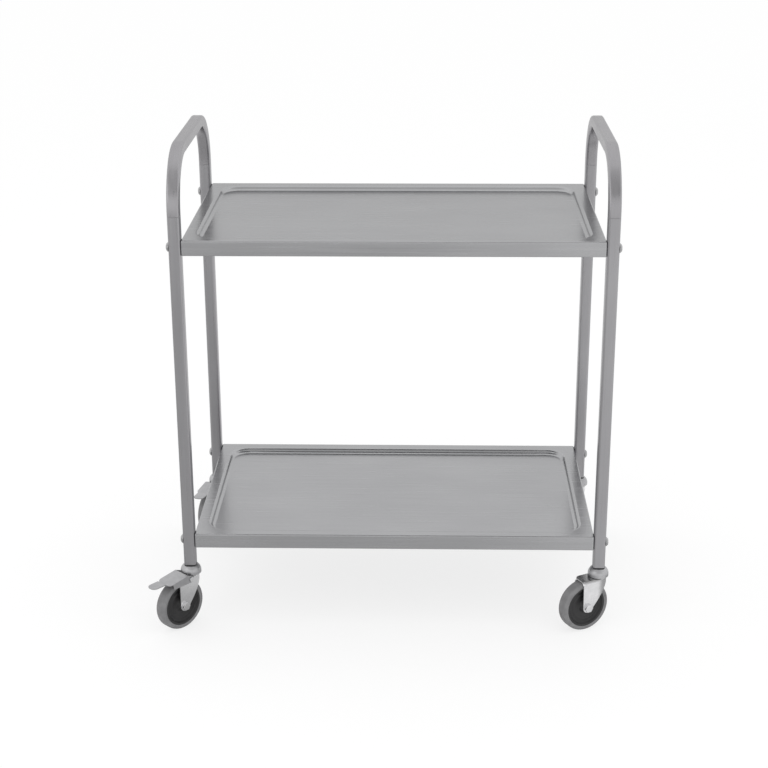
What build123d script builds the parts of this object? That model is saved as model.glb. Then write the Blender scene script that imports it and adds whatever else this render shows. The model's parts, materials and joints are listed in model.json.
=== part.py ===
from build123d import *
import os
from math import cos, radians, sin, sqrt

# A two-tier service trolley in stainless steel: two pressed tray shelves bolted between four
# square-tube legs, a bent push handle at each end and four swivel casters, two of them braked.
# Millimetres. X runs along the trolley, Y from its front to its back and Z up from the floor.

# Frame
LENGTH = 710.0  # over the legs, along X
DEPTH = 405.0  # over the legs, along Y
HEIGHT = 815.0  # floor to the top of the handles
TUBE = 20.0  # side of the square tube
TUBE_WALL = 1.2
TUBE_CORNER = 4.0  # outside corner radius of the tube
BEND_RADIUS = 88.0  # handle bend, on the tube's centre line
HANDLE_TAIL = 4.0  # straight run of the handle between its bend and the leg
SPIGOT_LENGTH = 30.0  # reduced end of the handle inside the leg
SPIGOT_PLAY = 0.1  # gap round the spigot

# Shelves
SHELF_SHEET = 1.0
UPPER_DROP = 37.5  # top of the legs down to the upper shelf's rim
LOWER_RISE = 32.5  # foot of the legs up to the lower shelf's skirt
SKIRT_HEIGHT = 25.0
SHELF_CORNER = 3.0  # upright corners of the skirt
FOLD_RADIUS = 2.5  # rim to skirt
RIM_WIDTH = 23.0  # flat border round the recess
TRAY_DEPTH = 8.0  # rim to deck
TRAY_CORNER = 32.0  # recess corner in plan
DRAW_RADIUS = 3.0  # rim to recess wall, and recess wall to deck
RETURN_LIP = 8.0  # skirt edge folded inwards underneath

# Shelf bolts
BOLT_DIAMETER = 6.0
BOLT_HOLE_PLAY = 0.2  # gap round the shank in the tube and the skirt
BOLT_HEAD_DIAMETER = 16.0
BOLT_HEAD_HEIGHT = 4.5
BOLT_BRIM = 1.1  # straight edge of the head under its dome
BOLT_END = 3.0  # shank past the nut
NUT_ACROSS = 10.0  # across flats
NUT_HEIGHT = 5.0

# Wheels
WHEEL_DIAMETER = 88.0
WHEEL_WIDTH = 22.0
TYRE_THICKNESS = 8.0
TYRE_SHOULDER = 3.5
CORE_WIDTH = 20.0  # at the rim
CORE_RIM = 3.5  # thickness of the core's rim
CORE_DISH = 4.0  # depth of the dish in each side
HUB_DIAMETER = 20.0
HUB_GAP = 0.5  # hub end to fork
AXLE_DIAMETER = 8.0
AXLE_HEAD_ACROSS = 13.0
AXLE_HEAD_HEIGHT = 5.0
AXLE_NUT_HEIGHT = 6.0
AXLE_END = 2.0  # thread past the nut

# Forks and swivels
TRAIL = 28.0  # swivel axis to axle
FORK_SHEET = 2.0
FORK_GAP = 26.0  # between the fork's legs
FORK_BEND = 4.0  # crown to side, outside
FORK_TIP = 9.0  # radius round the axle
FORK_BROW = 8.0  # height of the wall at the leading edge
HOOD_LIP = 4.0  # turned-down edge behind the wheel
CROWN_GAP = 3.0  # tyre to crown
STEM_DIAMETER = 12.0
STEM_HEAD_DIAMETER = 17.0
STEM_HEAD_HEIGHT = 3.0
STEM_GRIP = 35.0  # length inside the leg socket
BEARING_HEIGHT = 4.0
BEARING_BORE = 17.0
BEARING_DIAMETER = 29.0
HEAD_DIAMETER = 35.0
HEAD_WALL = 2.0
HEAD_ROOF = 11.0  # from the bearing to the leg socket
HEAD_TOP_DIAMETER = 23.0
SOCKET_FLANGE = 2.0
SOCKET_PLAY = 0.1  # gap between the socket and the tube

# Brakes
PEDAL_SHEET = 1.5
PEDAL_GAP = 0.5  # fork to pedal cheek
PEDAL_PIVOT_REACH = 13.0  # swivel axis to pivot
PEDAL_PIVOT_DROP = 4.0  # crown top down to pivot
PEDAL_EAR = 5.5  # cheek radius round the pivot
PEDAL_RISE = 10.0  # pivot to the top of the plate
PEDAL_START = 6.0  # pivot to the near edge of the plate
PEDAL_LENGTH = 46.0  # pivot to the far edge of the plate
PEDAL_CORNER = 8.0
PEDAL_CHEEK = 10.0  # depth of the cheek at the plate's far end
PEDAL_TILT = 8.7  # slope of the plate when the brake is off, degrees
TONGUE_WIDTH = 20.0
TONGUE_REACH = 28.0  # beyond the plate
TONGUE_JOG = 3.5  # step up at the plate's edge
TONGUE_LIFT = 3.0  # further rise to the tip
BRAKE_TRAVEL = 9.0  # pedal turn from off to on, degrees
BRAKE_NOTCH = 26.0  # swivel axis to where the braked fork's crown ends
BRAKE_NOTCH_DEPTH = 5.0
SHOE_LENGTH = 12.0
SHOE_WIDTH = 18.0
SHOE_START = 22.0  # pivot to shoe
RIVET_DIAMETER = 5.0
RIVET_HEAD_DIAMETER = 9.0
RIVET_HEAD_HEIGHT = 1.5

# Clearances
RUNNING_FIT = 0.05  # radial gap of a shaft that turns in a hole
FACE_GAP = 0.3  # between faces that pass each other

# Casters: side along X, side along Y, heading of the trailing wheel in degrees from +X, brake
CASTERS = {
    "front_left": (-1, -1, 227.7, True),
    "front_right": (1, -1, 208.4, False),
    "rear_left": (-1, 1, 250.0, True),
    "rear_right": (1, 1, 210.0, False),
}

leg_x = (LENGTH - TUBE) / 2
leg_y = (DEPTH - TUBE) / 2
wheel_radius = WHEEL_DIAMETER / 2
crown_underside = WHEEL_DIAMETER + CROWN_GAP
crown_top = crown_underside + FORK_SHEET
head_underside = crown_top + BEARING_HEIGHT
head_top = head_underside + HEAD_ROOF
leg_foot = head_top + SOCKET_FLANGE
leg_top = HEIGHT - TUBE / 2 - BEND_RADIUS - HANDLE_TAIL
upper_rim = leg_top - UPPER_DROP
lower_rim = leg_foot + LOWER_RISE + SKIRT_HEIGHT
tube_bore = TUBE - 2 * TUBE_WALL
shelf_length = LENGTH - 2 * TUBE
fork_width = FORK_GAP + 2 * FORK_SHEET
fork_tail = TRAIL + FORK_TIP
fork_foot = wheel_radius - FORK_TIP
pivot = Vector(PEDAL_PIVOT_REACH, 0, crown_top - PEDAL_PIVOT_DROP)


def square_tube(side, corner):
    """Outline of a square tube with rounded corners."""
    return RectangleRounded(side, side, corner)


def tube_hollow(side, corner, wall):
    """Inside of that tube. Its corners are flats, one wall thick from the outer rounding."""
    inner = side - 2 * wall
    corner_reach = (side / 2 - corner) * sqrt(2) + corner - wall
    square = Rectangle(inner, inner)
    return chamfer(square.vertices(), inner - corner_reach * sqrt(2))


def bolt_holes(rim):
    """Cross drillings for the bolts of one shelf, through legs and skirts alike."""
    hole = Cylinder(BOLT_DIAMETER / 2 + BOLT_HOLE_PLAY, 2 * LENGTH, rotation=(0, 90, 0))
    height = rim - SKIRT_HEIGHT / 2
    return [Pos(0, side * leg_y, height) * hole for side in (-1, 1)]


def leg(x_side, y_side):
    """Straight leg tube, open at both ends and drilled for its two shelf bolts."""
    wall = square_tube(TUBE, TUBE_CORNER) - tube_hollow(TUBE, TUBE_CORNER, TUBE_WALL)
    tube = extrude(Pos(x_side * leg_x, y_side * leg_y, leg_foot) * wall, leg_top - leg_foot)
    return tube - bolt_holes(lower_rim) - bolt_holes(upper_rim)


def handle(x_side):
    """Push handle: one bent tube whose two ends are drawn down to slide into the legs."""
    crest = HEIGHT - TUBE / 2
    corners = [(0, -leg_y, leg_top), (0, -leg_y, crest), (0, leg_y, crest), (0, leg_y, leg_top)]
    path = FilletPolyline(*corners, radius=BEND_RADIUS)
    start = Pos(0, -leg_y, leg_top)
    bow = sweep(start * square_tube(TUBE, TUBE_CORNER), path)
    bow -= sweep(start * tube_hollow(TUBE, TUBE_CORNER, TUBE_WALL), path)

    neck = tube_bore - 2 * SPIGOT_PLAY
    neck_corner = TUBE_CORNER - TUBE_WALL - SPIGOT_PLAY
    bore = tube_hollow(neck, neck_corner, TUBE_WALL)
    shoulder = extrude(square_tube(TUBE, TUBE_CORNER) - bore, TUBE_WALL)
    spigot = extrude(square_tube(neck, neck_corner) - bore, -SPIGOT_LENGTH)
    for y_side in (-1, 1):
        bow += Pos(0, y_side * leg_y, leg_top) * (shoulder + spigot)
    return Pos(x_side * leg_x, 0, 0) * bow


def tray_form(rim, inset):
    """Outer form of a shelf, or the hollow under it: the same form drawn in by the sheet."""
    plan = RectangleRounded(shelf_length - 2 * inset, DEPTH - 2 * inset, SHELF_CORNER - inset)
    block = extrude(Pos(0, 0, rim - SKIRT_HEIGHT + inset) * plan, SKIRT_HEIGHT - 2 * inset)
    block = fillet(block.edges().group_by(Axis.Z)[-1], FOLD_RADIUS - inset)

    recess = RectangleRounded(
        shelf_length - 2 * (RIM_WIDTH - inset), DEPTH - 2 * (RIM_WIDTH - inset), TRAY_CORNER + inset
    )
    pocket = extrude(Pos(0, 0, rim - TRAY_DEPTH - inset) * recess, TRAY_DEPTH)
    pocket = fillet(pocket.edges().group_by(Axis.Z)[0], DRAW_RADIUS + inset)
    block -= pocket
    brink = block.faces().sort_by(Axis.Z)[-1].inner_wires()[0].edges()
    return fillet(brink, DRAW_RADIUS - inset)


def shelf(rim):
    """Pressed tray shelf with its skirt, turned-in lower edge and bolt holes."""
    edge = 2 * (SHELF_SHEET + RETURN_LIP)
    mouth = Box(shelf_length - edge, DEPTH - edge, 2 * SHELF_SHEET)
    mouth = Pos(0, 0, rim - SKIRT_HEIGHT + SHELF_SHEET / 2) * mouth
    return tray_form(rim, 0) - tray_form(rim, SHELF_SHEET) - mouth - bolt_holes(rim)


def shelf_bolt():
    """Dome-head bolt along Z, its head seated on the origin."""
    length = TUBE + SHELF_SHEET + NUT_HEIGHT + BOLT_END
    radius = BOLT_HEAD_DIAMETER / 2
    dome = BOLT_HEAD_HEIGHT - BOLT_BRIM
    sphere = (radius**2 + dome**2) / (2 * dome)
    cap = Pos(0, 0, BOLT_HEAD_HEIGHT - sphere) * Sphere(sphere)
    head = extrude(Circle(radius), BOLT_HEAD_HEIGHT) & cap
    return head + extrude(Circle(BOLT_DIAMETER / 2), -length)


def hex_nut(across, height, bore):
    """Plain hexagon nut along Z, seated on the origin."""
    hexagon = RegularPolygon(across / 2, 6, major_radius=False)
    return extrude(hexagon - Circle(bore), height)


def at_bolts(piece, x_offset):
    """One copy of a fastener at each leg and shelf, its own Z axis turned outwards."""
    copies = []
    for rim in (lower_rim, upper_rim):
        for x_side in (-1, 1):
            for y_side in (-1, 1):
                seat = Pos(x_side * x_offset, y_side * leg_y, rim - SKIRT_HEIGHT / 2)
                copies.append(seat * Rot(0, 90 * x_side, 0) * piece)
    return copies


def leg_socket():
    """Plastic plug in the foot of a leg, bored for the caster's stem."""
    side = tube_bore - 2 * SOCKET_PLAY
    plug = extrude(square_tube(side, TUBE_CORNER - TUBE_WALL - SOCKET_PLAY), STEM_GRIP)
    flange = extrude(square_tube(TUBE, TUBE_CORNER), -SOCKET_FLANGE)
    bore = Cylinder(STEM_DIAMETER / 2 + RUNNING_FIT, 4 * STEM_GRIP)
    return Pos(0, 0, leg_foot) * (plug + flange - bore)


def stem():
    """King pin: its riveted head carries the fork, its shank runs up into the socket."""
    head_base = crown_underside - FACE_GAP - STEM_HEAD_HEIGHT
    head = extrude(Pos(0, 0, head_base) * Circle(STEM_HEAD_DIAMETER / 2), STEM_HEAD_HEIGHT)
    shank_length = leg_foot + STEM_GRIP - head_base
    return head + extrude(Pos(0, 0, head_base) * Circle(STEM_DIAMETER / 2), shank_length)


def swivel_head():
    """Domed cup over the bearing, pressed on the stem under the leg."""
    shaft = STEM_DIAMETER / 2 + RUNNING_FIT
    outer = HEAD_DIAMETER / 2
    brim = crown_top + 2 * FACE_GAP
    profile = Polyline(
        (shaft, 0, head_top),
        (shaft, 0, head_underside),
        (outer - HEAD_WALL, 0, head_underside),
        (outer - HEAD_WALL, 0, brim),
        (outer, 0, brim),
        (outer, 0, head_underside),
    )
    dome = TangentArc((outer, 0, head_underside), (HEAD_TOP_DIAMETER / 2, 0, head_top), tangent=(0, 0, 1))
    roof = Line((HEAD_TOP_DIAMETER / 2, 0, head_top), (shaft, 0, head_top))
    return revolve(make_face([*profile.edges(), dome, roof]), Axis.Z)


def swivel_bearing():
    """Thrust ring that the fork turns under."""
    ring = Circle(BEARING_DIAMETER / 2) - Circle(BEARING_BORE / 2)
    return extrude(Pos(0, 0, crown_top + RUNNING_FIT) * ring, BEARING_HEIGHT - RUNNING_FIT)


def fork_hood(inset):
    """Slot-shaped hood over the wheel, round about the stem and square at its tail."""
    width = fork_width - 2 * inset
    tail = fork_tail - inset
    plan = Circle(width / 2) + Pos(tail / 2, 0) * Rectangle(tail, width)
    hood = extrude(Pos(0, 0, fork_foot) * plan, crown_top - inset - fork_foot)
    return fillet(hood.edges().group_by(Axis.Z)[-1], FORK_BEND - inset)


def fork(braked):
    """Pressed fork: a drawn hood trimmed to two legs that lean back to the axle."""
    body = fork_hood(0) - fork_hood(FORK_SHEET)
    nose = -fork_width / 2
    brow = crown_top - FORK_BROW
    trim = Plane.XZ * make_hull(
        [
            *Polyline((nose, brow), (nose, crown_top), (fork_tail, crown_top)).edges(),
            *(Pos(TRAIL, wheel_radius) * Circle(FORK_TIP)).edges(),
        ]
    )
    body &= extrude(trim, fork_width, both=True)

    tail_gap = Box(2 * FORK_TIP, FORK_GAP, 2 * WHEEL_DIAMETER)
    tail_gap = Pos(fork_tail, 0, crown_top - HOOD_LIP - WHEEL_DIAMETER) * tail_gap
    body -= tail_gap
    if braked:
        notch = Box(2 * fork_tail, 2 * fork_width, 2 * BRAKE_NOTCH_DEPTH)
        body -= Pos(BRAKE_NOTCH + fork_tail, 0, crown_top) * notch
        body -= Pos(pivot) * cross_pin(RIVET_DIAMETER / 2 + RUNNING_FIT, 2 * fork_width)

    body -= Cylinder(STEM_DIAMETER / 2 + RUNNING_FIT, 4 * crown_top)
    body -= Pos(TRAIL, 0, wheel_radius) * cross_pin(AXLE_DIAMETER / 2 + RUNNING_FIT, 2 * fork_width)
    return body


def cross_pin(radius, length):
    """Cylinder along Y, centred on the origin."""
    return Cylinder(radius, length, rotation=(90, 0, 0))


def on_axle(piece, offset, y_side=1):
    """Piece drawn along Z, laid along the axle with its seat at offset from the wheel's middle."""
    return Pos(TRAIL, y_side * offset, wheel_radius) * Rot(-90 * y_side, 0, 0) * piece


def axle_bolt():
    """Hexagon bolt through both fork legs, threaded end past its nut."""
    head = extrude(RegularPolygon(AXLE_HEAD_ACROSS / 2, 6, major_radius=False), AXLE_HEAD_HEIGHT)
    shank = extrude(Circle(AXLE_DIAMETER / 2), -(fork_width + AXLE_NUT_HEIGHT + AXLE_END))
    return on_axle(head + shank, fork_width / 2)


def axle_nut():
    """Nut on the axle bolt's far end."""
    nut = hex_nut(AXLE_HEAD_ACROSS, AXLE_NUT_HEIGHT, AXLE_DIAMETER / 2 + RUNNING_FIT)
    return on_axle(nut, fork_width / 2, -1)


def turned(points):
    """Ring turned about the axle from points of radius and offset on one side, mirrored."""
    outline = points + [(radius, -offset) for radius, offset in reversed(points)]
    section = make_face(Polyline(*[(radius, 0, offset) for radius, offset in outline], close=True))
    return on_axle(revolve(section, Axis.Z), 0)


def wheel_core():
    """Moulded wheel centre: hub, dished web and rim."""
    rim_radius = wheel_radius - TYRE_THICKNESS
    hub_end = FORK_GAP / 2 - HUB_GAP
    hub_radius = HUB_DIAMETER / 2
    web = CORE_WIDTH / 2 - CORE_DISH
    return turned(
        [
            (AXLE_DIAMETER / 2 + RUNNING_FIT, hub_end),
            (hub_radius, hub_end),
            (hub_radius + hub_end - web, web),
            (rim_radius - CORE_RIM - CORE_DISH, web),
            (rim_radius - CORE_RIM, CORE_WIDTH / 2),
            (rim_radius, CORE_WIDTH / 2),
        ]
    )


def tyre():
    """Solid rubber tyre moulded round the rim, with bevelled shoulders."""
    half = WHEEL_WIDTH / 2
    return turned(
        [
            (wheel_radius - TYRE_THICKNESS, CORE_WIDTH / 2),
            (wheel_radius - TYRE_SHOULDER, half),
            (wheel_radius, half - TYRE_SHOULDER),
        ]
    )


def set_pedal(piece):
    """Takes a brake piece, drawn level from its pivot, to the fork with the brake off."""
    return Pos(pivot) * Rot(0, PEDAL_TILT, 0) * piece


def pedal():
    """Pressed brake pedal: plate, two cheeks outside the fork and a narrow foot tongue."""
    inside = fork_width / 2 + PEDAL_GAP
    width = 2 * (inside + PEDAL_SHEET)
    plate = Rectangle(PEDAL_LENGTH - PEDAL_START, width, align=(Align.MIN, Align.CENTER))
    plate = fillet(plate.vertices().sort_by(Axis.X)[-2:], PEDAL_CORNER)
    form = extrude(Pos(PEDAL_START, 0, PEDAL_RISE) * plate, -PEDAL_SHEET)

    flat_end = PEDAL_LENGTH - PEDAL_CORNER
    edge = Polyline(
        (PEDAL_START, PEDAL_RISE), (flat_end, PEDAL_RISE), (flat_end, PEDAL_RISE - PEDAL_CHEEK)
    )
    cheek = make_hull([*edge.edges(), *Circle(PEDAL_EAR).edges()])
    cheek -= Circle(RIVET_DIAMETER / 2 + RUNNING_FIT)
    for y_side in (-1, 1):
        wall = extrude(Plane.XZ * cheek, PEDAL_SHEET, dir=(0, y_side, 0))
        form += Pos(0, y_side * inside, 0) * wall

    step = PEDAL_LENGTH + TONGUE_JOG
    tip = PEDAL_LENGTH + TONGUE_REACH
    under = PEDAL_RISE - PEDAL_SHEET
    side_view = Plane.XZ * Polygon(
        (PEDAL_LENGTH - PEDAL_CORNER, under),
        (PEDAL_LENGTH - PEDAL_CORNER, PEDAL_RISE),
        (PEDAL_LENGTH, PEDAL_RISE),
        (step, PEDAL_RISE + TONGUE_JOG),
        (tip, PEDAL_RISE + TONGUE_JOG + TONGUE_LIFT),
        (tip, under + TONGUE_JOG + TONGUE_LIFT),
        (step + PEDAL_SHEET / 2, under + TONGUE_JOG),
        (PEDAL_LENGTH + PEDAL_SHEET / 2, under),
        align=None,
    )
    tongue = extrude(side_view, TONGUE_WIDTH / 2, both=True)
    tip_edges = tongue.edges().filter_by(Axis.Z).group_by(Axis.X)[-1]
    return set_pedal(form + fillet(tip_edges, TONGUE_WIDTH / 2 - PEDAL_SHEET))


def brake_shoe():
    """Pad under the pedal plate, hollowed to lie along the tyre when the brake is on."""
    under = PEDAL_RISE - PEDAL_SHEET
    applied = radians(PEDAL_TILT + BRAKE_TRAVEL)
    across = TRAIL - pivot.X
    down = wheel_radius - pivot.Z
    centre = (across * cos(applied) - down * sin(applied), across * sin(applied) + down * cos(applied))
    tread = Pos(centre[0], 0, centre[1]) * cross_pin(wheel_radius + FACE_GAP, 2 * SHOE_WIDTH)
    block = Box(SHOE_LENGTH, SHOE_WIDTH, under, align=(Align.MIN, Align.CENTER, Align.MIN))
    return set_pedal(Pos(SHOE_START, 0, 0) * block - tread)


def pedal_rivets():
    """Two shouldered rivets that the pedal turns on, one in each fork leg."""
    wall = FORK_GAP / 2
    seat = fork_width / 2 + PEDAL_GAP + PEDAL_SHEET + FACE_GAP
    shank = extrude(Circle(RIVET_DIAMETER / 2), wall - seat)
    head = extrude(Circle(RIVET_HEAD_DIAMETER / 2), RIVET_HEAD_HEIGHT)
    rivet = shank + head
    return [Pos(pivot) * Pos(0, side * seat, 0) * Rot(-90 * side, 0, 0) * rivet for side in (-1, 1)]


nodes = {
    "upper_shelf": shelf(upper_rim),
    "lower_shelf": shelf(lower_rim),
    "left_handle": handle(-1),
    "right_handle": handle(1),
    "shelf_bolts": at_bolts(shelf_bolt(), LENGTH / 2),
    "shelf_nuts": at_bolts(
        hex_nut(NUT_ACROSS, NUT_HEIGHT, BOLT_DIAMETER / 2 + RUNNING_FIT),
        shelf_length / 2 - SHELF_SHEET - NUT_HEIGHT,
    ),
}
under_legs = {
    "leg_sockets": leg_socket(),
    "caster_stems": stem(),
    "swivel_heads": swivel_head(),
    "swivel_bearings": swivel_bearing(),
}
nodes.update({name: [] for name in under_legs})

for corner, (x_side, y_side, heading, braked) in CASTERS.items():
    home = Pos(x_side * leg_x, y_side * leg_y, 0)
    nodes[f"{corner}_leg"] = leg(x_side, y_side)
    for name, piece in under_legs.items():
        nodes[name].append(home * piece)

    caster = {
        "fork": fork(braked),
        "axle_bolt": axle_bolt(),
        "axle_nut": axle_nut(),
        "wheel_core": wheel_core(),
        "tyre": tyre(),
    }
    if braked:
        caster |= {
            "brake_pedal": pedal(),
            "brake_shoe": brake_shoe(),
            "pedal_rivets": pedal_rivets(),
        }
    turn = home * Rot(0, 0, heading)
    for name, piece in caster.items():
        copies = [turn * part for part in piece] if isinstance(piece, list) else turn * piece
        nodes[f"{corner}_{name}"] = copies

# The origin is on the floor, under the middle of the whole trolley with its casters as they stand.
shapes = {name: Compound(part) if isinstance(part, list) else part for name, part in nodes.items()}
box = Compound(list(shapes.values())).bounding_box()
origin = Pos(-box.center().X, -box.center().Y, 0)

os.makedirs("parts", exist_ok=True)
for name, shape in shapes.items():
    export_step(origin * shape, f"parts/{name}.step")
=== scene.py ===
import json
from math import cos, pi, radians, sin, sqrt

import bmesh
import bpy
from mathutils import Matrix, Vector


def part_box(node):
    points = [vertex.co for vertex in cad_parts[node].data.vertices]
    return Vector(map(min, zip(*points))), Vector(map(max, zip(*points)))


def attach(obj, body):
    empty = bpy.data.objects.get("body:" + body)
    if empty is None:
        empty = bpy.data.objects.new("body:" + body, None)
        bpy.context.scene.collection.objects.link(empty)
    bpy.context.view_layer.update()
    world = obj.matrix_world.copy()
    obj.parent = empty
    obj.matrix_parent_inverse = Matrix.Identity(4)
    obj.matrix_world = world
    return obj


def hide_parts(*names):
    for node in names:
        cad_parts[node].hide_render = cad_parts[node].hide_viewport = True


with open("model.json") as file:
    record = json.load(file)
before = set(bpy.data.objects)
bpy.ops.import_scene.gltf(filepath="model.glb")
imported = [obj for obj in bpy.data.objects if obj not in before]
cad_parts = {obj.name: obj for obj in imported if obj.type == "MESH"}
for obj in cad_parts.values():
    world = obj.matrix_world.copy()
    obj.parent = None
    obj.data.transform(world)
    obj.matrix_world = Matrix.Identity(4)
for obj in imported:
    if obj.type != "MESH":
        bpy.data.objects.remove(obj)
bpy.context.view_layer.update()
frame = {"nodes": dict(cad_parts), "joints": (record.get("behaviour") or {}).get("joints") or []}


# Legs. Four lengths of square stainless tube with rounded corners, polished along their length,
# cut square and deburred. Each stands on the plastic socket that holds its caster.
CORNERS = ("front_left", "front_right", "rear_left", "rear_right")
TUBE_WALL = 0.0012
TUBE_CORNER = 0.004
TUBE_SHEEN = 0.78  # at a grazing angle
ARC_STEPS = 6
CUT_EDGE = 0.0004
EDGE_STEPS = 2
SHARP_EDGE = radians(50)
MERGE = 1e-6
GRAIN_SPAN = (0.3, 0.7)


def rounded_ring(bm, centre, half_x, half_y, corner):
    """Level ring of edges with rounded corners, open inside."""
    older = set(bm.edges)
    grid = bmesh.ops.create_grid(bm, x_segments=1, y_segments=1, size=1)
    bmesh.ops.scale(bm, vec=(half_x, half_y, 1), verts=grid["verts"])
    bmesh.ops.translate(bm, vec=centre, verts=grid["verts"])
    bmesh.ops.bevel(
        bm, geom=grid["verts"], offset=corner, offset_type="OFFSET", affect="VERTICES",
        segments=ARC_STEPS, profile=0.5, material=-1,
    )
    ring = [edge for edge in bm.edges if edge not in older]
    bmesh.ops.delete(bm, geom=list(ring[0].link_faces), context="FACES_ONLY")
    return ring


def ends_of(made):
    """Points of what an operator made, and the ring of edges that joins them."""
    points = {item for item in made if isinstance(item, bmesh.types.BMVert)}
    edges = [item for item in made if isinstance(item, bmesh.types.BMEdge)]
    return points, [edge for edge in edges if points.issuperset(edge.verts)]


def drawn_out(bm, ring, step):
    """The ring of a tube drawn out along a straight step. Returns its new end."""
    points, end = ends_of(bmesh.ops.extrude_edge_only(bm, edges=ring)["geom"])
    bmesh.ops.translate(bm, vec=step, verts=list(points))
    return end


def placed(bm, name, finish):
    """A finished shape as an object of the scene, in its finish."""
    mesh = bpy.data.meshes.new(name)
    bm.to_mesh(mesh)
    bm.free()
    mesh.materials.append(finish)
    thing = bpy.data.objects.new(name, mesh)
    bpy.context.scene.collection.objects.link(thing)
    return thing


def set_up(bm, name, finish, body, node):
    """A finished shape as a piece that stands for its node and moves with the node's body."""
    bmesh.ops.remove_doubles(bm, verts=bm.verts, dist=MERGE)
    bmesh.ops.recalc_face_normals(bm, faces=bm.faces)
    piece = placed(bm, name, finish)
    piece.data.shade_smooth()
    piece.data.set_sharp_from_angle(angle=SHARP_EDGE)
    piece.modifiers.new("even_shading", "WEIGHTED_NORMAL").keep_sharp = True
    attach(piece, body)
    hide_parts(node)
    return piece


def walled(piece, thickness):
    """Gives a skin its wall, inwards, and deburrs the wall's cut edges. Shading comes last."""
    wall = piece.modifiers.new("wall", "SOLIDIFY")
    wall.thickness = thickness
    wall.offset = -1
    deburr = piece.modifiers.new("deburr", "BEVEL")
    deburr.width = CUT_EDGE
    deburr.segments = EDGE_STEPS
    deburr.limit_method = "ANGLE"
    deburr.angle_limit = SHARP_EDGE
    piece.modifiers.move(0, len(piece.modifiers) - 1)


def new_finish(name):
    """Material, with its node tree, its shader and the piece's own coordinates."""
    finish = bpy.data.materials.new(name)
    finish.use_nodes = True
    tree = finish.node_tree
    coords = tree.nodes.new("ShaderNodeTexCoord").outputs["Object"]
    return finish, tree, tree.nodes["Principled BSDF"], coords


def new_metal(name, sheen=1):
    """The same for bare metal, with the share of light that it returns at a grazing angle."""
    finish, tree, shader, coords = new_finish(name)
    shader.inputs["Metallic"].default_value = 1
    shader.inputs["Specular Tint"].default_value = (sheen, sheen, sheen, 1)
    return finish, tree, shader, coords


def grain(tree, coords, scale, detail=3, stretch=(1, 1, 1)):
    """Noise over a surface, drawn out along the axes with a small stretch."""
    mapping = tree.nodes.new("ShaderNodeMapping")
    mapping.inputs["Scale"].default_value = stretch
    tree.links.new(coords, mapping.inputs["Vector"])
    noise = tree.nodes.new("ShaderNodeTexNoise")
    noise.inputs["Scale"].default_value = scale
    noise.inputs["Detail"].default_value = detail
    tree.links.new(mapping.outputs["Vector"], noise.inputs["Vector"])
    return noise.outputs["Fac"]


def blended(tree, first, second):
    """Two patterns laid over each other in equal parts."""
    mix = tree.nodes.new("ShaderNodeMix")
    mix.inputs["Factor"].default_value = 0.5
    tree.links.new(first, mix.inputs["A"])
    tree.links.new(second, mix.inputs["B"])
    return mix.outputs["Result"]


def spread(tree, value, span, ends):
    """Number that goes from one end to the other while a value crosses a span."""
    scale = tree.nodes.new("ShaderNodeMapRange")
    scale.inputs["From Min"].default_value, scale.inputs["From Max"].default_value = span
    scale.inputs["To Min"].default_value, scale.inputs["To Max"].default_value = ends
    tree.links.new(value, scale.inputs["Value"])
    return scale.outputs["Result"]


def shaded(tree, shader, pattern, dark, light):
    """Colour of a surface, from a dark to a light tone by a pattern."""
    ramp = tree.nodes.new("ShaderNodeValToRGB")
    for stop, place, tone in zip(ramp.color_ramp.elements, GRAIN_SPAN, (dark, light)):
        stop.position = place
        stop.color = (*tone, 1)
    tree.links.new(pattern, ramp.inputs["Fac"])
    tree.links.new(ramp.outputs["Color"], shader.inputs["Base Color"])


def roughened(tree, shader, pattern, smooth, rough):
    """Roughness of a surface, from smooth to rough by a pattern."""
    share = spread(tree, pattern, GRAIN_SPAN, (smooth, rough))
    tree.links.new(share, shader.inputs["Roughness"])


def relief(tree, shader, pattern, depth):
    """Bumps by a pattern, with a depth in metres, over the bumps that a surface has already."""
    bump = tree.nodes.new("ShaderNodeBump")
    bump.inputs["Strength"].default_value = 1
    bump.inputs["Distance"].default_value = depth
    tree.links.new(pattern, bump.inputs["Height"])
    normal = shader.inputs["Normal"]
    if normal.links:
        tree.links.new(normal.links[0].from_socket, bump.inputs["Normal"])
    tree.links.new(bump.outputs["Normal"], normal)


def tube_steel(name, dark, light, along):
    """Satin stainless tube, with faint polishing lines along one axis."""
    finish, tree, shader, coords = new_metal(name, TUBE_SHEEN)
    lines = grain(tree, coords, scale=900, stretch=along)
    streaks = grain(tree, coords, scale=260, detail=5, stretch=along)
    smudges = grain(tree, coords, scale=14, stretch=(1, 1, 0.5))
    shaded(tree, shader, blended(tree, smudges, streaks), dark, light)
    roughened(tree, shader, streaks, smooth=0.26, rough=0.34)
    relief(tree, shader, lines, depth=2e-6)
    return finish


leg_steel = tube_steel(
    "leg_steel", dark=(0.360, 0.356, 0.368), light=(0.420, 0.416, 0.429), along=(1, 1, 0.02)
)
for corner in CORNERS:
    low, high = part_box(f"{corner}_leg")
    middle, half = (low + high) / 2, (high - low) / 2
    bm = bmesh.new()
    foot = rounded_ring(bm, (middle.x, middle.y, low.z), half.x, half.y, TUBE_CORNER)
    drawn_out(bm, foot, (0, 0, 2 * half.z))
    tube = set_up(bm, f"{corner}_leg_tube", leg_steel, "frame", f"{corner}_leg")
    walled(tube, TUBE_WALL)


# Push handles. One length of the same tube for each end, bent twice on a mandrel. Its ends are
# drawn down to slide into the front and back leg, and a fine seam shows where the shoulders meet.
BEND_RADIUS = 0.088
BEND_STEPS = 22
SPIGOT_PLAY = 0.0001


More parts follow.
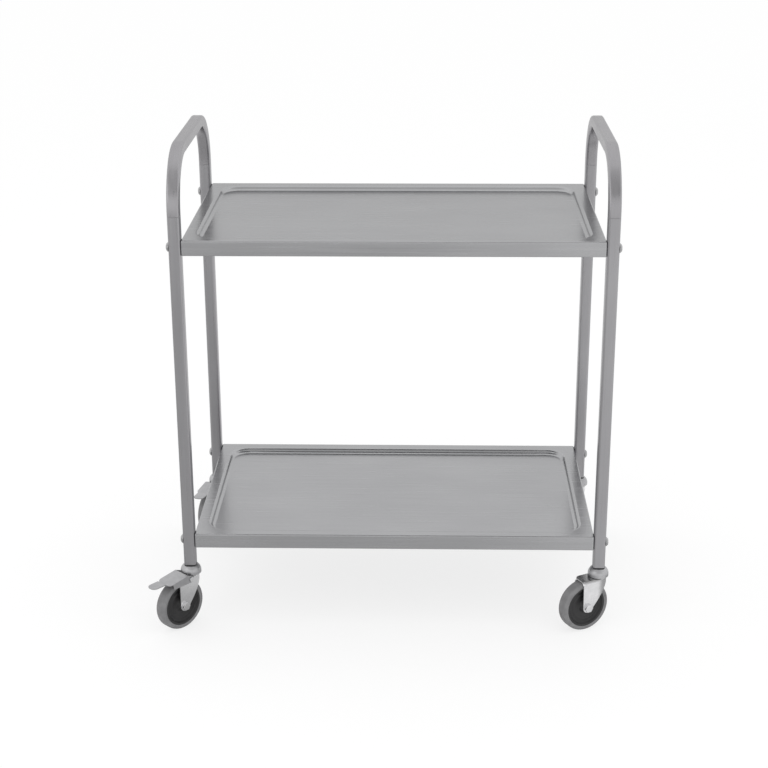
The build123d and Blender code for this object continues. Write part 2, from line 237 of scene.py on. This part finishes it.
def stepped(bm, ring, centre, share):
    """The ring of a tube stepped in or out about its centre, as a shoulder. Returns its new end."""
    points, end = ends_of(bmesh.ops.extrude_edge_only(bm, edges=ring)["geom"])
    space = Matrix.Translation(-Vector(centre))
    bmesh.ops.scale(bm, vec=(share, share, 1), space=space, verts=list(points))
    return end


def bent(bm, ring, centre):
    """The ring of a tube carried a quarter turn towards the back. Returns its new end."""
    points = list({point for edge in ring for point in edge.verts})
    made = bmesh.ops.spin(
        bm, geom=points + ring, cent=centre, axis=(1, 0, 0), angle=-pi / 2, steps=BEND_STEPS
    )
    return ends_of(made["geom_last"])[1]


handle_steel = tube_steel(
    "handle_steel", dark=(0.350, 0.344, 0.357), light=(0.405, 0.398, 0.412), along=(1, 0.05, 0.2)
)
for side in ("left", "right"):
    low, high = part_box(f"{side}_handle")
    half = (high.x - low.x) / 2
    neck = half - TUBE_WALL - SPIGOT_PLAY
    middle, front, back = low.x + half, low.y + half, high.y - half
    seam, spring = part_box(f"front_{side}_leg")[1].z, high.z - half - BEND_RADIUS
    bm = bmesh.new()
    ring = rounded_ring(bm, (middle, front, low.z), neck, neck, TUBE_CORNER * neck / half)
    ring = drawn_out(bm, ring, (0, 0, seam - low.z))
    ring = stepped(bm, ring, (middle, front, seam), half / neck)
    ring = drawn_out(bm, ring, (0, 0, spring - seam))
    ring = bent(bm, ring, (middle, front + BEND_RADIUS, spring))
    ring = drawn_out(bm, ring, (0, back - front - 2 * BEND_RADIUS, 0))
    ring = bent(bm, ring, (middle, back - BEND_RADIUS, spring))
    ring = drawn_out(bm, ring, (0, 0, seam - spring))
    ring = stepped(bm, ring, (middle, back, seam), neck / half)
    drawn_out(bm, ring, (0, 0, low.z - seam))
    bow = set_up(bm, f"{side}_handle_bow", handle_steel, "frame", f"{side}_handle")
    walled(bow, TUBE_WALL)


# Tray shelves. Each is pressed from one stainless sheet: a recessed deck with a soft drawn wall, a
# flat rim, a folded skirt and a lip turned in underneath. The sheet is polished along the trolley.
LEVELS = ("upper", "lower")
SHEET = 0.001
SHEET_SHEEN = 0.7  # at a grazing angle
RIM_WIDTH = 0.023
TRAY_DEPTH = 0.008
TRAY_CORNER = 0.032
DRAW_TURN = 68  # degrees
SKIRT_CORNER = 0.003
FOLD_RADIUS = 0.0025
HEM_RADIUS = 0.0015
LIP = 0.009
SPRING = 0.0002  # of the sheet, beside a fold
FOLD_STEPS = 6


def shelf_steel():
    """Polished sheet: long fine lines, soft smudges and a faint waviness from the press."""
    finish, tree, shader, coords = new_metal("pressed_sheet", SHEET_SHEEN)
    lines = grain(tree, coords, scale=1100, stretch=(0.012, 1, 1))
    streaks = grain(tree, coords, scale=320, detail=5, stretch=(0.02, 1, 1))
    smudges = grain(tree, coords, scale=9, detail=5, stretch=(0.6, 1, 1))
    waves = grain(tree, coords, scale=7, detail=1, stretch=(0.7, 1, 1))
    tone = blended(tree, smudges, streaks)
    shaded(tree, shader, tone, dark=(0.406, 0.408, 0.417), light=(0.470, 0.472, 0.481))
    roughened(tree, shader, streaks, smooth=0.20, rough=0.28)
    relief(tree, shader, lines, depth=3e-6)
    relief(tree, shader, waves, depth=3.5e-4)
    return finish


def fold(inset, depth, radius, start, sweep=90):
    """Turn of sheet about a bend line, as insets and depths below the rim."""
    turns = [radians(start + sweep * step / FOLD_STEPS) for step in range(FOLD_STEPS + 1)]
    return [(inset - radius * cos(turn), depth - radius * sin(turn)) for turn in turns]


sheet_finish = shelf_steel()
draw_radius = TRAY_DEPTH / 2 / (1 - cos(radians(DRAW_TURN)))
wall_half = draw_radius * sin(radians(DRAW_TURN))
for level in LEVELS:
    low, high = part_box(f"{level}_shelf")
    centre, half = (low + high) / 2, (high - low) / 2
    skirt = high.z - low.z
    outside = [(LIP, skirt - SPRING)]
    outside += fold(HEM_RADIUS, skirt - HEM_RADIUS, HEM_RADIUS, start=-90)
    outside += fold(FOLD_RADIUS, FOLD_RADIUS, FOLD_RADIUS, start=0)
    inside = fold(
        RIM_WIDTH - wall_half, draw_radius + SPRING, draw_radius, start=90, sweep=DRAW_TURN
    )
    foot = fold(
        RIM_WIDTH + wall_half, TRAY_DEPTH - draw_radius, draw_radius, start=-90, sweep=DRAW_TURN
    )
    inside += reversed(foot[:-1])
    corners = [SKIRT_CORNER - min(inset, FOLD_RADIUS) for inset, depth in outside]
    corners += [TRAY_CORNER + RIM_WIDTH - inset for inset, depth in inside]
    bm = bmesh.new()
    rings = []
    for (inset, depth), corner in zip(outside + inside, corners):
        place = (centre.x, centre.y, high.z - depth)
        rings.append(rounded_ring(bm, place, half.x - inset, half.y - inset, corner))
    for outer, inner in zip(rings, rings[1:]):
        bmesh.ops.bridge_loops(bm, edges=outer + inner)
    bmesh.ops.contextual_create(bm, geom=rings[-1])
    tray = set_up(bm, f"{level}_tray", sheet_finish, "frame", f"{level}_shelf")
    walled(tray, SHEET)


# Shelf bolts. Button-head screws with a hexagon socket, one through each leg and the end skirt of
# each shelf. They are turned from bright stainless bar.
HEAD_RADIUS = 0.008
HEAD_HEIGHT = 0.0045
HEAD_BRIM = 0.0011
HEAD_FLAT = 0.0034
HEAD_STEPS = 32
DOME_STEPS = 6
SOCKET_RADIUS = 0.0023
SOCKET_DEPTH = 0.002
SOCKET_SIDES = 6
BOLT_CHAMFER = 0.0002
SHANK_RADIUS = 0.003
SHANK_LENGTH = 0.029


def bolt_steel():
    """Bright turned stainless with faint handling marks."""
    finish, tree, shader, coords = new_metal("bolt_steel")
    marks = grain(tree, coords, scale=180, detail=4)
    shaded(tree, shader, marks, dark=(0.36, 0.36, 0.365), light=(0.46, 0.46, 0.465))
    roughened(tree, shader, grain(tree, coords, scale=420), smooth=0.2, rough=0.34)
    relief(tree, shader, marks, depth=1e-5)
    return finish


def circle(bm, radius, height, steps):
    """Level ring of edges about the origin."""
    points = bmesh.ops.create_circle(bm, segments=steps, radius=radius)["verts"]
    bmesh.ops.translate(bm, vec=(0, 0, height), verts=points)
    return list({edge for point in points for edge in point.link_edges})


def stacked(bm, rings):
    """Skin over a stack of rings, closed at its first and last."""
    for lower, upper in zip(rings, rings[1:]):
        bmesh.ops.bridge_loops(bm, edges=lower + upper)
    bmesh.ops.contextual_create(bm, geom=rings[0])
    bmesh.ops.contextual_create(bm, geom=rings[-1])


def shelf_bolt(bm, seat):
    """Button-head screw, drawn along Z with its head on the origin and then moved to its seat."""
    older = set(bm.verts)
    rings = [circle(bm, SHANK_RADIUS, height, HEAD_STEPS) for height in (-SHANK_LENGTH, 0)]
    rings += [circle(bm, HEAD_RADIUS, height, HEAD_STEPS) for height in (BOLT_CHAMFER, HEAD_BRIM)]
    for step in range(1, DOME_STEPS + 1):
        share = step / DOME_STEPS
        radius = HEAD_RADIUS + (HEAD_FLAT - HEAD_RADIUS) * share
        height = HEAD_BRIM + (HEAD_HEIGHT - HEAD_BRIM) * (1 - (1 - share) ** 2)
        rings.append(circle(bm, radius, height, HEAD_STEPS))
    for depth in (BOLT_CHAMFER, SOCKET_DEPTH):
        rings.append(circle(bm, SOCKET_RADIUS, HEAD_HEIGHT - depth, SOCKET_SIDES))
    stacked(bm, rings)
    screw = [point for point in bm.verts if point not in older]
    bmesh.ops.transform(bm, matrix=seat, verts=screw)


bolt_finish = bolt_steel()
bm = bmesh.new()
for corner in CORNERS:
    low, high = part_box(f"{corner}_leg")
    outward = -1 if "left" in corner else 1
    face = low.x if outward < 0 else high.x
    for level in LEVELS:
        shelf_low, shelf_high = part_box(f"{level}_shelf")
        place = (face, (low.y + high.y) / 2, (shelf_low.z + shelf_high.z) / 2)
        shelf_bolt(bm, Matrix.Translation(place) @ Matrix.Rotation(outward * pi / 2, 4, "Y"))
set_up(bm, "button_head_bolts", bolt_finish, "frame", "shelf_bolts")


# Shelf nuts. Hexagon nuts tightened on the bolts behind the end skirts, out of sight from above.
# They are cold formed, with their corners slightly broken.
NUT_EDGE = 0.0004
FLAT_ANGLE = radians(1)


def solid_of(node):
    """Copy of a node's shape, with its flat faces made whole."""
    bm = bmesh.new()
    bm.from_mesh(frame["nodes"][node].data)
    bmesh.ops.remove_doubles(bm, verts=bm.verts, dist=MERGE)
    bmesh.ops.dissolve_limit(bm, angle_limit=FLAT_ANGLE, verts=bm.verts, edges=bm.edges)
    return bm


def deburred(bm, width):
    """The same shape with its sharp edges broken."""
    sharp = [e for e in bm.edges if len(e.link_faces) == 2 and e.calc_face_angle() > SHARP_EDGE]
    bmesh.ops.bevel(
        bm, geom=sharp, offset=width, offset_type="OFFSET", affect="EDGES",
        segments=EDGE_STEPS, profile=0.5, material=-1, clamp_overlap=True,
    )
    return bm


nuts = deburred(solid_of("shelf_nuts"), NUT_EDGE)
set_up(nuts, "hexagon_nuts", bolt_finish, "frame", "shelf_nuts")


# Leg sockets. Black moulded plugs pressed into the feet of the legs; only their flanges show, as a
# dark line between the tube and the caster's head.
PLASTIC_EDGE = 0.0003


def black_plastic():
    """Moulded black plastic with a fine spark-eroded texture and a little dust."""
    finish, tree, shader, coords = new_finish("black_plastic")
    fine = grain(tree, coords, scale=1600, detail=2)
    dust = grain(tree, coords, scale=60, detail=6)
    shaded(tree, shader, dust, dark=(0.013, 0.013, 0.014), light=(0.026, 0.025, 0.026))
    roughened(tree, shader, dust, smooth=0.42, rough=0.6)
    relief(tree, shader, fine, depth=4e-5)
    return finish


plastic_finish = black_plastic()
sockets = deburred(solid_of("leg_sockets"), PLASTIC_EDGE)
set_up(sockets, "plastic_sockets", plastic_finish, "frame", "leg_sockets")


# Swivel heads. Domed cups pressed from steel strip and dull plated, fixed on the stems under the
# legs. Each covers the ball race that its fork turns on.
UP = Vector((0, 0, 1))
ALONG = Vector((1, 0, 0))
HEAD_WALL = 0.002
CUP_RADIUS = 0.0175
CUP_TOP_RADIUS = 0.0115
CUP_SKIRT = 0.0034
CUP_ARC = 0.01308
CUP_ARC_TURN = 57.2  # degrees
CUP_BORE = 0.00605
CUP_STEPS = 10
TURN_STEPS = 64


def plated_steel(name, dark, light, smooth, rough):
    """Zinc-plated pressing: cool, smooth, slightly clouded."""
    finish, tree, shader, coords = new_metal(name)
    shaded(tree, shader, grain(tree, coords, scale=45, detail=5), dark, light)
    roughened(tree, shader, grain(tree, coords, scale=110, detail=4), smooth, rough)
    relief(tree, shader, grain(tree, coords, scale=700), depth=6e-6)
    return finish


def turned(bm, section, centre, axis, across):
    """Ring turned about an axis from a closed section of radius and offset."""
    points = [bm.verts.new(centre + across * radius + axis * offset) for radius, offset in section]
    edges = [bm.edges.new(pair) for pair in zip(points, points[1:] + points[:1])]
    bmesh.ops.spin(
        bm, geom=points + edges, cent=centre, axis=axis,
        angle=2 * pi, steps=TURN_STEPS, use_merge=True,
    )


dull_plate = plated_steel(
    "dull_plate", dark=(0.42, 0.42, 0.43), light=(0.52, 0.52, 0.53), smooth=0.36, rough=0.48
)
low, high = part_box("swivel_heads")
height = high.z - low.z
cup = [
    (CUP_BORE, CUP_SKIRT),
    (CUP_RADIUS - HEAD_WALL, CUP_SKIRT),
    (CUP_RADIUS - HEAD_WALL, 0),
    (CUP_RADIUS, 0),
]
for step in range(CUP_STEPS):
    turn = radians(CUP_ARC_TURN * step / CUP_STEPS)
    cup.append((CUP_RADIUS - CUP_ARC + CUP_ARC * cos(turn), CUP_SKIRT + CUP_ARC * sin(turn)))
cup += [(CUP_TOP_RADIUS, height), (CUP_BORE, height)]
bm = bmesh.new()
for corner in CORNERS:
    leg_low, leg_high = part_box(f"{corner}_leg")
    middle = (leg_low + leg_high) / 2
    turned(bm, cup, Vector((middle.x, middle.y, low.z)), UP, ALONG)
set_up(bm, "domed_swivel_heads", dull_plate, "frame", "swivel_heads")


# Stems and swivel bearings. The king pins rise into the leg sockets and the thrust rings lie inside
# the heads, so both keep the shape that they are turned to, in the same dull plate as the heads.
for node in ("caster_stems", "swivel_bearings"):
    frame["nodes"][node].data.materials[0] = dull_plate


# Forks. Each is drawn from steel plate over the wheel: a hood that closes in a bow round the stem,
# two legs that lean back to the axle, and on the braked ones a cut-away crown. They are bright
# plated, and the plain crowns, which no pedal covers, carry a painted shade, full on the crown and
# thinning out below its bend.
BRAKED = ("front_left", "rear_left")
PLATE_EDGE = 0.0005
FORK_HALF = 0.015
STEM_SEAT = 0.009
BOW_START = -0.011  # measured ahead from the stem
BOW_END = 0.995  # share of the half width
BOW_CUTS = 13
TAIL_CORNER = 0.007
TAIL_LIP = 0.004
TAIL_FADE = 0.005
TAIL_CUTS = 7
# Painted shade on the plain crowns: its colour, and the depths below the crown where it starts and
# is full.
PAINTED_CROWN_SHADE = (0.34, 0.338, 0.342, 1)
CROWN_SHADE_EDGE = 0.0052  # below the crown
CROWN_SHADE_FULL = 0.0016  # below the crown


def place_along(tree, coords, axis):
    """Place on a piece along one of its axes."""
    where = tree.nodes.new("ShaderNodeSeparateXYZ")
    tree.links.new(coords, where.inputs["Vector"])
    return where.outputs[axis]


def paint_crown_shade(finish, crown):
    """Paints shade on a plate, full on its crown and thinning out below the bend."""
    tree = finish.node_tree
    coords = tree.nodes["Texture Coordinate"].outputs["Object"]
    colour = tree.nodes["Principled BSDF"].inputs["Base Color"]
    height = place_along(tree, coords, "Z")
    shade_share = spread(tree, height, (crown - CROWN_SHADE_EDGE, crown - CROWN_SHADE_FULL), (0, 1))
    mix = tree.nodes.new("ShaderNodeMix")
    mix.data_type = "RGBA"
    plate, painted_shade = (socket for socket in mix.inputs if socket.type == "RGBA")
    result, = (socket for socket in mix.outputs if socket.type == "RGBA")
    painted_shade.default_value = PAINTED_CROWN_SHADE
    tree.links.new(shade_share, mix.inputs["Factor"])
    tree.links.new(colour.links[0].from_socket, plate)
    tree.links.new(result, colour)


def joint_named(name):
    """Joint of the frame, with its place and axis."""
    return next(joint for joint in frame["joints"] if joint["name"] == name)


def fork_axes(corner):
    """Stem of a fork, the way that it faces and the way across it."""
    stem, axle = (Vector(joint_named(f"{corner}_{turn}")["pos_m"]) for turn in ("swivel", "roll"))
    ahead = Vector((*(stem - axle).xy, 0)).normalized()
    return stem, ahead, ahead.cross(UP)


def scored(bm, place, direction):
    """Line of edges cut round a shape, where it is to bend."""
    whole = [*bm.verts, *bm.edges, *bm.faces]
    bmesh.ops.bisect_plane(bm, geom=whole, dist=MERGE, plane_co=place, plane_no=direction)


def bowed(bm, corner):
    """Draws the sides of a fork in towards its front, from a little behind the stem."""
    stem, ahead, across = fork_axes(corner)
    length = FORK_HALF - BOW_START
    for cut in range(BOW_CUTS):
        scored(bm, stem + ahead * (BOW_START + length * cut / BOW_CUTS), ahead)
    for point in bm.verts:
        reach, side = (point.co - stem).dot(ahead), (point.co - stem).dot(across)
        if reach > BOW_START and reach ** 2 + side ** 2 > STEM_SEAT ** 2:
            reach = min(reach, BOW_END * FORK_HALF)
            round_width = sqrt(1 - (max(reach, 0) / FORK_HALF) ** 2)
            bow_width = sqrt(1 - ((reach - BOW_START) / length) ** 2)
            point.co += across * side * (bow_width / round_width - 1)


def rounded_tail(bm, corner):
    """Rounds the back corners of a fork's crown, over the depth of its lip and fading out below."""
    stem, ahead, across = fork_axes(corner)
    crown = max(point.co.z for point in bm.verts)
    start = max((stem - point.co).dot(ahead) for point in bm.verts) - TAIL_CORNER
    for cut in range(TAIL_CUTS):
        back = start + TAIL_CORNER * sin(pi / 2 * cut / TAIL_CUTS)
        scored(bm, stem - ahead * back, ahead)
        drop = TAIL_LIP + TAIL_FADE * cut / TAIL_CUTS
        scored(bm, UP * (crown - drop), UP)
    for point in bm.verts:
        back = (stem - point.co).dot(ahead) - start
        fade = min((TAIL_LIP + TAIL_FADE - crown + point.co.z) / TAIL_FADE, 1)
        if back > 0 and fade > 0:
            inset = TAIL_CORNER - sqrt(max(TAIL_CORNER ** 2 - back ** 2, 0))
            side = (point.co - stem).dot(across)
            point.co -= across * side * fade * inset / FORK_HALF


bright_plate, shaded_crown_plate = (
    plated_steel(
        name, dark=(0.66, 0.66, 0.67), light=(0.77, 0.77, 0.78), smooth=0.18, rough=0.28
    )
    for name in ("bright_plate", "shaded_crown_plate")
)
# The plain crowns get a painted shade.
paint_crown_shade(shaded_crown_plate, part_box("front_right_fork")[1].z)
for corner in CORNERS:
    node, caster = f"{corner}_fork", f"{corner}_caster"
    fork = solid_of(node)
    bowed(fork, corner)
    if corner in BRAKED:
        plate = bright_plate
    else:
        rounded_tail(fork, corner)
        # Plate with a painted shade on its crown.
        plate = shaded_crown_plate
    fork = deburred(fork, PLATE_EDGE)
    set_up(fork, f"{corner}_pressed_fork", plate, caster, node)


# Axles. A hexagon bolt through both legs of each fork and a nut on its far end, plated.
# Their corners are chamfered by the cold heading.
AXLE_EDGE = 0.0006
for corner in CORNERS:
    for part in ("axle_bolt", "axle_nut"):
        node, caster = f"{corner}_{part}", f"{corner}_caster"
        shape = deburred(solid_of(node), AXLE_EDGE)
        set_up(shape, f"{node}_hex", bright_plate, caster, node)


# Wheel cores. Black polypropylene, moulded in one piece: a hub that runs on the axle, a dished web
# with a stiffening ring, and a rim that carries the tyre.
CORE_RADIUS = 0.036
CORE_HALF = 0.010
CORE_LIP = 0.0035
HUB_RADIUS = 0.010
HUB_HALF = 0.0125
HUB_BORE = 0.00405
WEB_HALF = 0.006
WEB_RING = 0.023
RING_HEIGHT = 0.0012
RING_WIDTH = 0.0012
MOULD_RADIUS = 0.0015


def wheel_axis(corner):
    """Middle of a wheel, the direction of its axle and one across it, from its rolling joint."""
    joint = joint_named(f"{corner}_roll")
    axis = Vector(joint["axis"]).normalized()
    return Vector(joint["pos_m"]), axis, axis.cross(UP)


def mirrored(section):
    """Closed section from the points of its one half, at positive offsets."""
    return section + [(radius, -offset) for radius, offset in reversed(section)]


half_core = [
    (HUB_BORE, HUB_HALF),
    (HUB_RADIUS - MOULD_RADIUS, HUB_HALF),
    (HUB_RADIUS, HUB_HALF - MOULD_RADIUS),
    (HUB_RADIUS + MOULD_RADIUS, WEB_HALF + MOULD_RADIUS),
    (HUB_RADIUS + 2 * MOULD_RADIUS, WEB_HALF),
    (WEB_RING - RING_WIDTH - RING_HEIGHT, WEB_HALF),
    (WEB_RING - RING_WIDTH, WEB_HALF + RING_HEIGHT),
    (WEB_RING + RING_WIDTH, WEB_HALF + RING_HEIGHT),
    (WEB_RING + RING_WIDTH + RING_HEIGHT, WEB_HALF),
    (CORE_RADIUS - CORE_LIP - 2 * MOULD_RADIUS, WEB_HALF),
    (CORE_RADIUS - CORE_LIP - MOULD_RADIUS, WEB_HALF + MOULD_RADIUS),
    (CORE_RADIUS - CORE_LIP, CORE_HALF),
    (CORE_RADIUS, CORE_HALF),
]
for corner in CORNERS:
    node, wheel = f"{corner}_wheel_core", f"{corner}_wheel"
    bm = bmesh.new()
    turned(bm, mirrored(half_core), *wheel_axis(corner))
    set_up(bm, f"{corner}_moulded_core", plastic_finish, wheel, node)


# Tyres. Grey rubber moulded round the cores, with a flat tread between well rounded shoulders.
# The tread is lightly scuffed from rolling.
TYRE_RADIUS = 0.044
TYRE_HALF = 0.011
SHOULDER_RADIUS = 0.0055
SHOULDER_STEPS = 7


def grey_rubber():
    """Matt grey rubber, finely pitted and dusty."""
    finish, tree, shader, coords = new_finish("grey_rubber")
    pits = grain(tree, coords, scale=1300)
    scuffs = grain(tree, coords, scale=75, detail=6)
    shaded(tree, shader, scuffs, dark=(0.165, 0.164, 0.168), light=(0.228, 0.226, 0.231))
    roughened(tree, shader, scuffs, smooth=0.6, rough=0.8)
    relief(tree, shader, pits, depth=6e-5)
    return finish


rubber_finish = grey_rubber()
radius, offset = TYRE_RADIUS - SHOULDER_RADIUS, TYRE_HALF - SHOULDER_RADIUS
half_tyre = [(CORE_RADIUS, CORE_HALF)]
for step in range(SHOULDER_STEPS + 1):
    turn = radians(90 * step / SHOULDER_STEPS)
    half_tyre.append((radius + SHOULDER_RADIUS * sin(turn), offset + SHOULDER_RADIUS * cos(turn)))
for corner in CORNERS:
    node, wheel = f"{corner}_tyre", f"{corner}_wheel"
    bm = bmesh.new()
    turned(bm, mirrored(half_tyre), *wheel_axis(corner))
    set_up(bm, f"{corner}_rubber_tyre", rubber_finish, wheel, node)


# Brakes. A pressed pedal straddles each braked fork on two rivets, with a foot tongue behind, and a
# rubber shoe under its plate meets the tyre when the pedal is down.
SHOE_EDGE = 0.0006


def shoe_rubber():
    """Black moulded rubber, matt and slightly grained."""
    finish, tree, shader, coords = new_finish("shoe_rubber")
    marks = grain(tree, coords, scale=400, detail=4)
    shaded(tree, shader, marks, dark=(0.02, 0.02, 0.02), light=(0.035, 0.034, 0.034))
    roughened(tree, shader, marks, smooth=0.7, rough=0.85)
    relief(tree, shader, marks, depth=5e-5)
    return finish


def pedal_steel():
    """Dull plated pressing, scuffed by shoes."""
    finish, tree, shader, coords = new_metal("pedal_steel")
    scuffs = grain(tree, coords, scale=90, detail=6, stretch=(1, 1, 0.4))
    shaded(tree, shader, scuffs, dark=(0.38, 0.38, 0.39), light=(0.48, 0.48, 0.49))
    roughened(tree, shader, scuffs, smooth=0.30, rough=0.44)
    relief(tree, shader, grain(tree, coords, scale=600), depth=8e-6)
    return finish


shoe_finish = shoe_rubber()
pedal_finish = pedal_steel()
for corner in BRAKED:
    brake, caster = f"{corner}_brake", f"{corner}_caster"
    pedal, shoe, rivets = f"{corner}_brake_pedal", f"{corner}_brake_shoe", f"{corner}_pedal_rivets"
    plate = deburred(solid_of(pedal), PLATE_EDGE)
    set_up(plate, f"{corner}_foot_pedal", pedal_finish, brake, pedal)
    pad = deburred(solid_of(shoe), SHOE_EDGE)
    set_up(pad, f"{corner}_rubber_shoe", shoe_finish, brake, shoe)
    pins = deburred(solid_of(rivets), PLATE_EDGE)
    set_up(pins, f"{corner}_rivets", bright_plate, caster, rivets)


# Floor. A wide sheet of white paper, brightened for the camera and for reflections so that only a
# faint shadow of the trolley stays on it.
FLOOR_HALF = 60.0
PAPER_WHITE = (0.97, 0.97, 0.97, 1)
PAPER_GLOW = 0.75


def staged(name, finish, half_x, half_y, place, tilt=0):
    """Sheet that belongs to the studio, level or tilted up about the trolley's length."""
    bm = bmesh.new()
    bmesh.ops.create_grid(bm, x_segments=1, y_segments=1, size=1)
    bmesh.ops.scale(bm, vec=(half_x, half_y, 1), verts=bm.verts)
    bmesh.ops.rotate(bm, cent=(0, 0, 0), matrix=Matrix.Rotation(tilt, 3, "X"), verts=bm.verts)
    bmesh.ops.translate(bm, vec=place, verts=bm.verts)
    sheet = placed(bm, name, finish)
    return sheet


def paper():
    """White paper with a glow that the camera, reflections and glass see."""
    finish, tree, shader, _ = new_finish("white_paper")
    shader.inputs["Base Color"].default_value = PAPER_WHITE
    shader.inputs["Roughness"].default_value = 1
    shader.inputs["Specular IOR Level"].default_value = 0
    path = tree.nodes.new("ShaderNodeLightPath")
    seen = path.outputs["Is Camera Ray"]
    for name in ("Is Glossy Ray", "Is Transmission Ray"):
        either = tree.nodes.new("ShaderNodeMath")
        either.operation = "MAXIMUM"
        tree.links.new(seen, either.inputs[0])
        tree.links.new(path.outputs[name], either.inputs[1])
        seen = either.outputs["Value"]
    share = tree.nodes.new("ShaderNodeMath")
    share.operation = "MULTIPLY"
    share.inputs[1].default_value = PAPER_GLOW
    tree.links.new(seen, share.inputs[0])
    glow = tree.nodes.new("ShaderNodeEmission")
    mix = tree.nodes.new("ShaderNodeMixShader")
    tree.links.new(share.outputs["Value"], mix.inputs["Fac"])
    tree.links.new(shader.outputs["BSDF"], mix.inputs[1])
    tree.links.new(glow.outputs["Emission"], mix.inputs[2])
    tree.links.new(mix.outputs["Shader"], tree.nodes["Material Output"].inputs["Surface"])
    return finish


staged("floor", paper(), FLOOR_HALF, FLOOR_HALF, place=(0, 0, 0))


# Studio. A white room with a wide soft lamp overhead and a smaller one from the front left. Grey
# cards, seen only in reflections, give the steel its darker tones: one lies on the floor, under the
# trolley and in front of it, dark from the middle leftwards as a painted shadow of the trolley; one
# leans high over the camera; and two small ones lie by the wheels as painted shadow beside them.
LAMP_TARGET = Vector((0, 0, 0.4))
world = bpy.data.worlds.new("white_studio")
bpy.context.scene.world = world
world.use_nodes = True
walls = world.node_tree.nodes["Background"]
walls.inputs["Color"].default_value = (1, 1, 1, 1)
walls.inputs["Strength"].default_value = 1


def soft_lamp(name, place, size, power):
    """Square lamp turned towards the middle of the trolley."""
    light = bpy.data.lights.new(name, "AREA")
    light.size = size
    light.energy = power
    lamp = bpy.data.objects.new(name, light)
    lamp.location = place
    lamp.rotation_euler = (LAMP_TARGET - Vector(place)).to_track_quat("-Z", "Y").to_euler()
    bpy.context.scene.collection.objects.link(lamp)
    return lamp


def grey_card(name, half_x, half_y, place, axis, span, tones, tilt=0):
    """Card seen only in reflections, whose tone changes along one axis over a span."""
    finish, tree, shader, coords = new_finish(name)
    tree.nodes.remove(shader)
    tone = tree.nodes.new("ShaderNodeEmission")
    fade = spread(tree, place_along(tree, coords, axis), span, tones)
    tree.links.new(fade, tone.inputs["Strength"])
    tree.links.new(tone.outputs["Emission"], tree.nodes["Material Output"].inputs["Surface"])
    card = staged(name, finish, half_x, half_y, place, tilt)
    card.visible_camera = False
    card.visible_diffuse = False
    card.visible_shadow = False
    card.visible_transmission = False


overhead = soft_lamp("overhead_lamp", place=(0.2, -0.2, 3.2), size=2.6, power=12)
overhead.visible_glossy = False
soft_lamp("front_lamp", place=(-2.2, -2.6, 2.2), size=1.8, power=8)
# Darkens the steel's reflections of the floor; its tone, dark from the middle leftwards and lighter
# to the right, is a painted shadow of the trolley.
grey_card(
    "floor_card", half_x=3.0, half_y=2.175, place=(0, -1.875, 0.001),
    axis="X", span=(0.05, 0.55), tones=(0.62, 0.90),
)
grey_card(
    "leaning_card", half_x=3.5, half_y=1.6, place=(0, -2.2, 3.0), tilt=radians(35),
    axis="Z", span=(2.1, 3.9), tones=(0.5, 0.8),
)
# Painted shadow on the floor beside the front left caster, seen only in its fork.
grey_card(
    "left_wheel_shadow_card", half_x=0.10, half_y=0.11, place=(-0.19, -0.21, 0.0015),
    axis="X", span=(-0.26, -0.14), tones=(0.38, 0.66),
)
# Painted shadow on the floor behind the front right caster, seen only in the flank of its fork.
grey_card(
    "right_wheel_shadow_card", half_x=0.08, half_y=0.17, place=(0.53, -0.17, 0.0015),
    axis="Y", span=(-0.24, -0.18), tones=(1.0, 0.40),
)


# Camera. It stands in front of the trolley, a little right of the middle and higher than the
# handles, and looks down at both decks.
CAMERA_PLACE = (0.0717, -2.6418, 1.3350)
CAMERA_YAW = 0.026  # radians
CAMERA_PITCH = 0.349  # radians
CAMERA_ROLL = 0.004  # radians
LENS = 76.03  # mm
eye = bpy.data.cameras.new("camera")
eye.lens = LENS
camera = bpy.data.objects.new("camera", eye)
bpy.context.scene.collection.objects.link(camera)
aim = Matrix.Rotation(CAMERA_YAW, 4, "Z") @ Matrix.Rotation(pi / 2 - CAMERA_PITCH, 4, "X")
camera.matrix_world = Matrix.Translation(CAMERA_PLACE) @ aim @ Matrix.Rotation(-CAMERA_ROLL, 4, "Z")
bpy.context.scene.camera = camera
bpy.context.scene.view_settings.view_transform = "Standard"
